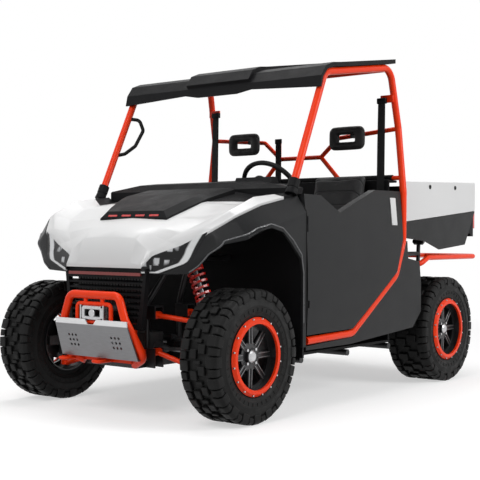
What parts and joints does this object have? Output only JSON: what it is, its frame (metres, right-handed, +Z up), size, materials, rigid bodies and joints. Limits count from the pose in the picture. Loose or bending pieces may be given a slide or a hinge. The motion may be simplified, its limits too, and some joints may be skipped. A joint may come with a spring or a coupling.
{
  "type": "side by side utility vehicle",
  "caption": "Two-seat side by side utility vehicle with an open tube cab, roof, slanting headlamps, tube bumper with winch, lugged tyres, steered front wheels, hinged doors and a tipping bed with a drop tailgate",
  "frame": {"origin": "on the ground, midway between the ends and the sides of the parked vehicle", "axes": "+Z up, -Y to the front, +X to the driver's left"},
  "size_m": [1.586, 2.9563, 2.0248],
  "materials": {
    "tyre": "black rubber, matt, moulded lugs",
    "rim": "black satin paint",
    "orange": "orange-red powder coat, satin gloss",
    "knuckle": "grey cast iron, painted",
    "shaft": "dark steel with rubber boots",
    "damper": "grey steel damper body",
    "spring": "red coated spring steel",
    "frame": "black powder coat",
    "white": "white painted plastic, gloss",
    "dark_panel": "dark grey moulded plastic, satin",
    "black": "black moulded plastic, matt",
    "lamp": "clear lamp lens over a bright reflector",
    "tail_lamp": "red lamp lens",
    "trim_red": "dull red trim strip",
    "alu": "brushed aluminium plate",
    "winch": "black casing and bright rollers",
    "seat": "black coated fabric",
    "belt": "black webbing",
    "grip": "black rubber grip",
    "engine": "cast alloy casing",
    "exhaust": "steel silencer",
    "bed": "black moulded cargo bed"
  },
  "bodies": {
    "chassis": {"rear_knuckles": "knuckle", "axle_shafts": "shaft", "front_arms": "orange", "rear_arms": "orange", "dampers": "damper", "coil_springs": "spring", "frame": "frame", "front_towers": "frame", "rear_towers": "frame", "hood": "white", "headlamps": "lamp", "front_fenders": "dark_panel", "hood_insert": "black", "front_fascia": "black", "grille_trim": "trim_red", "front_bumper": "orange", "skid_plate": "alu", "winch": "winch", "cab_tub": "black", "cab_rear_panel": "black", "dashboard": "black", "rack_case": "knuckle", "cage": "orange", "roof": "black", "seats": "seat", "seat_bases": "black", "headrests": "seat", "seat_belts": "belt", "grab_handle": "grip", "pillar_clamps": "black", "powertrain": "engine", "exhaust": "exhaust", "belly_plate": "frame", "side_panels": "dark_panel", "rear_bumper": "orange", "hitch_receiver": "frame"},
    "wheel_front_left": {"tyre_front_left": "tyre", "rim_front_left": "rim", "bead_ring_front_left": "orange"},
    "wheel_front_right": {"tyre_front_right": "tyre", "rim_front_right": "rim", "bead_ring_front_right": "orange"},
    "wheel_rear_left": {"tyre_rear_left": "tyre", "rim_rear_left": "rim", "bead_ring_rear_left": "orange"},
    "wheel_rear_right": {"tyre_rear_right": "tyre", "rim_rear_right": "rim", "bead_ring_rear_right": "orange"},
    "knuckle_left": {"knuckle_left": "knuckle"},
    "knuckle_right": {"knuckle_right": "knuckle"},
    "steering_wheel": {"steering_wheel": "grip"},
    "steering_rack": {"steering_rack": "shaft"},
    "door_left": {"door_left": "dark_panel"},
    "door_right": {"door_right": "dark_panel"},
    "cargo_bed": {"cargo_bed": "bed", "bed_side_panels": "white", "bed_side_trim": "dark_panel", "tail_lamps": "tail_lamp"},
    "tailgate": {"tailgate": "bed"}
  },
  "joints": [
    {"name": "steer_left", "type": "hinge", "parent": "chassis", "child": "knuckle_left", "pos_m": [0.6005, -1.095, 0.336], "axis": [0, 0, 1], "range_deg": [-28, 28]},
    {"name": "steer_right", "type": "hinge", "parent": "chassis", "child": "knuckle_right", "pos_m": [-0.6005, -1.095, 0.336], "axis": [0, 0, 1], "range_deg": [-28, 28]},
    {"name": "steering_wheel_turn", "type": "hinge", "parent": "chassis", "child": "steering_wheel", "pos_m": [0.38, -0.44, 1.195], "axis": [0, 0.8192, 0.5736], "range_deg": [-224, 224]},
    {"name": "rack_slide", "type": "slide", "parent": "chassis", "child": "steering_rack", "axis": [1, 0, 0], "range_m": [-0.04, 0.04]},
    {"name": "spin_front_left", "type": "hinge", "parent": "knuckle_left", "child": "wheel_front_left", "pos_m": [0.6725, -1.095, 0.336], "axis": [-1, 0, 0], "continuous": true},
    {"name": "spin_front_right", "type": "hinge", "parent": "knuckle_right", "child": "wheel_front_right", "pos_m": [-0.6725, -1.095, 0.336], "axis": [-1, 0, 0], "continuous": true},
    {"name": "spin_rear_left", "type": "hinge", "parent": "chassis", "child": "wheel_rear_left", "pos_m": [0.65, 0.955, 0.336], "axis": [-1, 0, 0], "continuous": true},
    {"name": "spin_rear_right", "type": "hinge", "parent": "chassis", "child": "wheel_rear_right", "pos_m": [-0.65, 0.955, 0.336], "axis": [-1, 0, 0], "continuous": true},
    {"name": "door_left_hinge", "type": "hinge", "parent": "chassis", "child": "door_left", "pos_m": [0.786, -0.668, 0.8], "axis": [0, 0, -1], "range_deg": [0, 68]},
    {"name": "door_right_hinge", "type": "hinge", "parent": "chassis", "child": "door_right", "pos_m": [-0.786, -0.668, 0.8], "axis": [0, 0, 1], "range_deg": [0, 68]},
    {"name": "bed_tilt", "type": "hinge", "parent": "chassis", "child": "cargo_bed", "pos_m": [0, 1.384, 0.898], "axis": [-1, 0, 0], "range_deg": [0, 40]},
    {"name": "tailgate_hinge", "type": "hinge", "parent": "cargo_bed", "child": "tailgate", "pos_m": [0, 1.395, 0.956], "axis": [-1, 0, 0], "range_deg": [0, 90]}
  ],
  "couplings": [
    {"joint": "steer_right", "follows": "steer_left", "ratio": 1},
    {"joint": "steering_wheel_turn", "follows": "steer_left", "ratio": 8},
    {"joint": "rack_slide", "follows": "steer_left", "m_per_rad": -0.07685}
  ]
}
